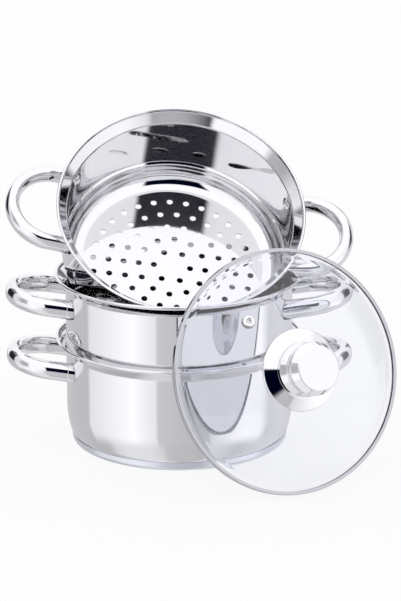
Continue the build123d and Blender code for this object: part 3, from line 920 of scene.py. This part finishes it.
def glass_mesh():
    """The dome, its rim and the bore for the knob, with the vent's hole cut by another mesh."""
    # The bend between dome and rim touches the rim's flat top and the outside of the dome
    centre_height = glass_top + glass_rim_bend
    outer_ball = dome_radius + glass_rim_bend
    centre_radius = sqrt(outer_ball**2 - (centre_height - apex_height + dome_radius)**2)
    slope = asin(centre_radius / outer_ball)
    steps = 6
    bend = [(centre_radius - glass_rim_bend * sin(slope * i / steps),
             centre_height - glass_rim_bend * cos(slope * i / steps)) for i in range(steps + 1)]
    inner_ball = dome_radius - glass_thickness
    inner_foot = sqrt(inner_ball**2 - (glass_top + apex_height - dome_radius)**2)
    outline = dome_arc(glass_bore_radius, bend[-1][0], 0)[:-1] + bend[::-1]
    outline += straight(bend[0], (glass_edge_radius, glass_top)) + [(glass_edge_radius, -glass_top)]
    outline += dome_arc(inner_foot, glass_bore_radius, glass_thickness)
    mesh = as_mesh(lathe(outline, closed=True), "glass")
    cutter_radius = eyelet_bore_radius + eyelet_sheet + fit_gap
    cutter_outline = [(0, -3 * glass_thickness), (cutter_radius, -3 * glass_thickness),
                      (cutter_radius, glass_thickness), (0, glass_thickness)]
    cutter_mesh = as_mesh(lathe(cutter_outline, closed=False), "cutter")
    cutter_mesh.transform(lid_frame.inverted() @ vent_frame)
    glass = bpy.data.objects.new("glass", mesh)
    cutter = bpy.data.objects.new("cutter", cutter_mesh)
    for item in (glass, cutter):
        bpy.context.scene.collection.objects.link(item)
    cut = glass.modifiers.new("vent", "BOOLEAN")
    cut.operation, cut.object, cut.solver = "DIFFERENCE", cutter, "EXACT"
    bpy.context.view_layer.update()
    seen = glass.evaluated_get(bpy.context.evaluated_depsgraph_get())
    cut_mesh = bpy.data.meshes.new_from_object(seen)
    for item in (glass, cutter):
        bpy.data.objects.remove(item)
    return cut_mesh


def band_mesh():
    """A channel of thin steel rolled over the glass's edge."""
    inner = lid_radius - band_cover
    points = [
        (inner, band_half_height),
        (lid_radius, band_half_height),
        (lid_radius, -band_half_height),
        (inner, -band_half_height),
    ]
    return as_mesh(lathe(closed_sheet(points, [band_bend, band_bend], band_sheet), closed=True), "band")


def eyelet_mesh():
    """A short tube through the glass, its upper edge rolled out to a ring."""
    foot = -glass_thickness - vent_washer_thickness - fit_gap
    tube_radius = eyelet_bore_radius + eyelet_sheet
    middle = (eyelet_radius + eyelet_bore_radius) / 2
    reach = (eyelet_radius - eyelet_bore_radius) / 2
    half = eyelet_roll / 2
    steps = 12
    outline = [(eyelet_bore_radius, foot)]
    for i in range(steps + 1):
        turn = pi * i / steps
        outline.append((middle - reach * cos(turn), fit_gap + half + half * sin(turn)))
    outline += [(eyelet_radius, fit_gap), (tube_radius, fit_gap), (tube_radius, foot)]
    return as_mesh(lathe(outline, closed=True), "eyelet")


def vent_washer_mesh():
    bore = eyelet_bore_radius + eyelet_sheet + fit_gap
    top = -glass_thickness - vent_washer_radius**2 / (2 * (dome_radius - glass_thickness)) - fit_gap
    foot = top - vent_washer_thickness
    outline = [(bore, top), (vent_washer_radius, top), (vent_washer_radius, foot), (bore, foot)]
    return as_mesh(lathe(outline, closed=True), "vent_washer")


def rosette_mesh():
    edge = apex_height - dome_radius + sqrt(dome_radius**2 - (rosette_radius - knob_sheet)**2) + fit_gap
    points = [
        (insert_radius + fit_gap, apex_height + rosette_top),
        (rosette_top_radius, apex_height + rosette_top),
        (rosette_radius, edge + rosette_edge),
        (rosette_radius, edge),
    ]
    sheet_outline = closed_sheet(points, [knob_bend, knob_bend], knob_sheet)
    return as_mesh(lathe(sheet_outline, closed=True), "rosette")


def neck_mesh():
    points = [
        (neck_top_radius, neck_foot + neck_height),
        (neck_top_radius, neck_foot + neck_height - neck_rim),
        (waist_radius, neck_foot + waist_height),
        (neck_foot_radius, neck_foot + neck_foot_height),
        (neck_foot_radius, neck_foot),
    ]
    sheet_outline = closed_sheet(points, [neck_bend, neck_bend, knob_bend], knob_sheet)
    return as_mesh(lathe(sheet_outline, closed=True), "neck")


def cap_mesh():
    points = [
        (insert_radius + fit_gap, cap_foot),
        (neck_top_radius, cap_foot),
        (cap_radius, cap_foot + cap_radius - neck_top_radius),
        (cap_radius, cap_foot + cap_side),
        (cap_face_radius, cap_face),
        (0, cap_face),
    ]
    outline = rounded(points, [0, knob_bend, cap_side - knob_bend, cap_face_bend])
    hollow = [(0, cap_foot + cap_side), (insert_radius + fit_gap, cap_foot + cap_side)]
    return as_mesh(lathe(hollow + outline, closed=False), "cap")


# Building
add_camera()
perforated_plate = perforated_plate_tree()
bent_tube = bent_tube_tree()
four_rivets = four_rivets_tree()

half_turn = turned(180, "Z")
tiers = (
    ("base", base_shell_mesh(), base_frame, "base_pot", steel_base),
    ("middle", steamer_shell_mesh(), middle_frame, "middle_steamer", steel_middle),
    ("top", steamer_shell_mesh(), top_frame, "top_steamer", steel_top),
)
for tier, shell, place, body, steel in tiers:
    add_piece(f"{tier}_drawn_shell", shell, place, body, [f"{tier}_shell"], steel)
    for side, turn in (("right", Matrix.Identity(4)), ("left", half_turn)):
        add_piece(f"{tier}_loop_{side}", handle_mesh(), place @ turn, body,
                  [f"{tier}_handle_{side}"], steel)
        add_piece(f"{tier}_collars_{side}", collars_mesh(), place @ turn, body,
                  [f"{tier}_handle_feet_{side}"], steel)
    add_piece(f"{tier}_wall_rivets", rivets_mesh(), place, body,
              [f"{tier}_rivets"], steel)

add_piece("base_cover_cup", core_cover_mesh(), floor_frame, "base_pot",
          ["base_core_cover"], steel_cover)

lid_pieces = (
    ("lid_dome", glass_mesh(), lid_frame, "lid_glass", glass_material, "lid_glass"),
    ("lid_band", band_mesh(), lid_frame, "lid_rim_band", band_steel_painted_dark, "polished_steel"),
    ("vent_rolled_eyelet", eyelet_mesh(), vent_frame, "vent_eyelet", steel_lid, "polished_steel"),
    ("vent_ring", vent_washer_mesh(), vent_frame, "vent_washer", silicone, "seal_silicone"),
    ("knob_plate", rosette_mesh(), lid_frame, "knob_rosette", steel_lid, "polished_steel"),
    ("knob_sleeve", neck_mesh(), lid_frame, "knob_neck", steel_lid, "polished_steel"),
    ("knob_top", cap_mesh(), lid_frame, "knob_cap", steel_cap, "polished_steel"),
)
for name, mesh, place, node, material, slot in lid_pieces:
    add_piece(name, mesh, place, "lid", [node], material)

carried_over = {
    "base_heat_core": core_aluminium,
    "knob_insert": phenolic,
    "knob_seal": silicone,
    "knob_washer": steel_screw,
    "knob_screw": steel_screw,
}
for node, material in carried_over.items():
    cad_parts[node].material_slots[0].material = material


# Floor and light
def add_floor():
    """A plain white table, nearly as bright as the backdrop to the eye, with a faint shadow.

    The metal doesn't mirror it: the studio's lowest ramps stand for it there.
    """
    mesh = bpy.data.meshes.new("floor")
    reach = 6.0              # half its width, in metres
    glow_share = 0.88        # its own light, as a share of what the eye sees of it
    corners = [(-reach, -reach, 0), (reach, -reach, 0), (reach, reach, 0), (-reach, reach, 0)]
    mesh.from_pydata(corners, [], [(0, 1, 2, 3)])
    floor = bpy.data.objects.new("floor", mesh)
    bpy.context.scene.collection.objects.link(floor)
    material, tree = new_material("white_table")
    paths = add_node(tree, "ShaderNodeLightPath")
    painted = add_node(tree, "ShaderNodeBsdfDiffuse", {"Color": srgb("#f2f2f2")})
    bright = add_node(tree, "ShaderNodeEmission", {"Color": (1, 1, 1, 1), "Strength": 1.0})
    in_view = add_node(tree, "ShaderNodeMath", {
        0: paths.outputs["Is Camera Ray"], 1: paths.outputs["Is Transmission Ray"]},
        operation="MAXIMUM")
    share = add_node(tree, "ShaderNodeMath", {0: in_view, 1: glow_share}, operation="MULTIPLY")
    mixed = add_node(tree, "ShaderNodeMixShader", {0: share, 1: painted, 2: bright})
    add_node(tree, "ShaderNodeOutputMaterial", {"Surface": mixed})
    mesh.materials.append(material)
    floor.visible_glossy = False
    floor.location.z = -0.2 * MM   # clear of the base's underside


def studio_ramp(tree, bearing, stops):
    """Brightness by bearing from the camera's side, positive to its right, in degrees."""
    ramp = add_node(tree, "ShaderNodeValToRGB", {"Fac": bearing})
    ramp.color_ramp.interpolation = "LINEAR"
    elements = ramp.color_ramp.elements
    while len(elements) > 1:
        elements.remove(elements[-1])
    for i, (degrees, value) in enumerate(stops):
        spot = (degrees + 180) / 360
        stop = elements[0] if i == 0 else elements.new(spot)
        stop.position = spot
        stop.color = (value, value + 0.001, value + 0.012, 1)   # darkness stays faintly blue
    return ramp


def add_studio():
    """A white studio all round, with the softboxes and dark gaps that metal mirrors."""
    tint = (0.886, 0.877, 0.891, 1)    # over all that is mirrored, as linear values
    world = bpy.data.worlds.new("studio")
    bpy.context.scene.world = world
    world.use_nodes = True
    tree = world.node_tree
    tree.nodes.clear()
    paths = add_node(tree, "ShaderNodeLightPath")
    toward = add_node(tree, "ShaderNodeTexCoord")
    parts = add_node(tree, "ShaderNodeSeparateXYZ", {0: toward.outputs["Generated"]})
    across, back, up = parts.outputs
    front = add_node(tree, "ShaderNodeMath", {0: back, 1: -1.0}, operation="MULTIPLY")
    turn = add_node(tree, "ShaderNodeMath", {0: across, 1: front}, operation="ARCTAN2")
    bearing = add_node(tree, "ShaderNodeMapRange", {
        "Value": turn, "From Min": -pi, "From Max": pi, "To Min": 0.0, "To Max": 1.0})
    # The table itself, from above
    below = studio_ramp(tree, bearing, [
        (-180, 0.9), (-105, 0.68), (-88, 0.68), (-76, 0.98), (-60, 1.1), (-32, 1.06), (-20, 0.95),
        (-12, 0.75), (20, 0.7), (29, 0.68), (38, 1.0), (50, 0.95), (70, 0.8), (110, 1.0), (180, 0.9)])
    # Near the table: what the upright walls mirror
    low = studio_ramp(tree, bearing, [
        (-180, 0.73), (-106, 0.73), (-102, 1.11), (-84, 1.2), (-60, 1.36), (-47, 1.46), (-34, 1.27),
        (-23, 1.16), (-21, 0.83), (0, 0.76), (30, 0.70), (34, 1.02), (60, 1.4), (76, 1.5), (92, 1.45),
        (104, 0.9), (130, 0.95), (160, 0.80), (180, 0.73)])
    # At eye level: softboxes all round, with dark gaps about the camera, on each side and behind
    level = studio_ramp(tree, bearing, [
        (-180, 1.25), (-139, 1.2), (-135, 0.03), (-108, 0.02), (-104, 1.0), (-90, 1.05), (-76, 0.6),
        (-62, 0.65), (-56, 1.4), (-16, 1.4), (-13, 0.0), (28, 0.0), (31, 1.45), (100, 1.25),
        (106, 0.12), (130, 0.12), (136, 1.1), (152, 1.2), (155, 0.2), (163, 0.2), (167, 1.25),
        (180, 1.25)])
    # Above that: the gap on each side reaches higher than the one about the camera
    above = studio_ramp(tree, bearing, [
        (-180, 1.3), (-140, 1.3), (-135, 0.3), (-110, 0.3), (-105, 1.2), (-60, 1.45), (60, 1.45),
        (105, 1.2), (110, 0.4), (130, 0.4), (135, 1.3), (180, 1.3)])
    # Overhead: one wide softbox
    high = studio_ramp(tree, bearing, [(-180, 1.4), (0, 1.5), (180, 1.4)])
    # From one to the next, between two heights that are given as the sine of their angle
    whole = below
    for next_up, first, last in (
            (low, -0.62, -0.42), (level, -0.2, -0.08), (above, 0.38, 0.43), (high, 0.58, 0.66)):
        over = add_node(tree, "ShaderNodeMapRange", {
            "Value": up, "From Min": first, "From Max": last}, interpolation_type="SMOOTHSTEP")
        whole = add_node(tree, "ShaderNodeMixRGB", {0: over, 1: whole, 2: next_up})
    tinted = add_node(tree, "ShaderNodeMixRGB", {0: 1.0, 1: whole, 2: tint}, blend_type="MULTIPLY")
    # The backdrop and the light on the pieces are plain white: the rest shows only when mirrored
    mirrored = add_node(tree, "ShaderNodeMath", {
        0: paths.outputs["Glossy Depth"], 1: 0.5}, operation="GREATER_THAN")
    seen = add_node(tree, "ShaderNodeMixRGB", {0: mirrored, 1: (1, 1, 1, 1), 2: tinted})
    sky = add_node(tree, "ShaderNodeBackground", {"Color": seen, "Strength": 1.0})
    add_node(tree, "ShaderNodeOutputWorld", {"Surface": sky})


add_floor()
add_studio()
bpy.context.scene.view_settings.view_transform = "Standard"
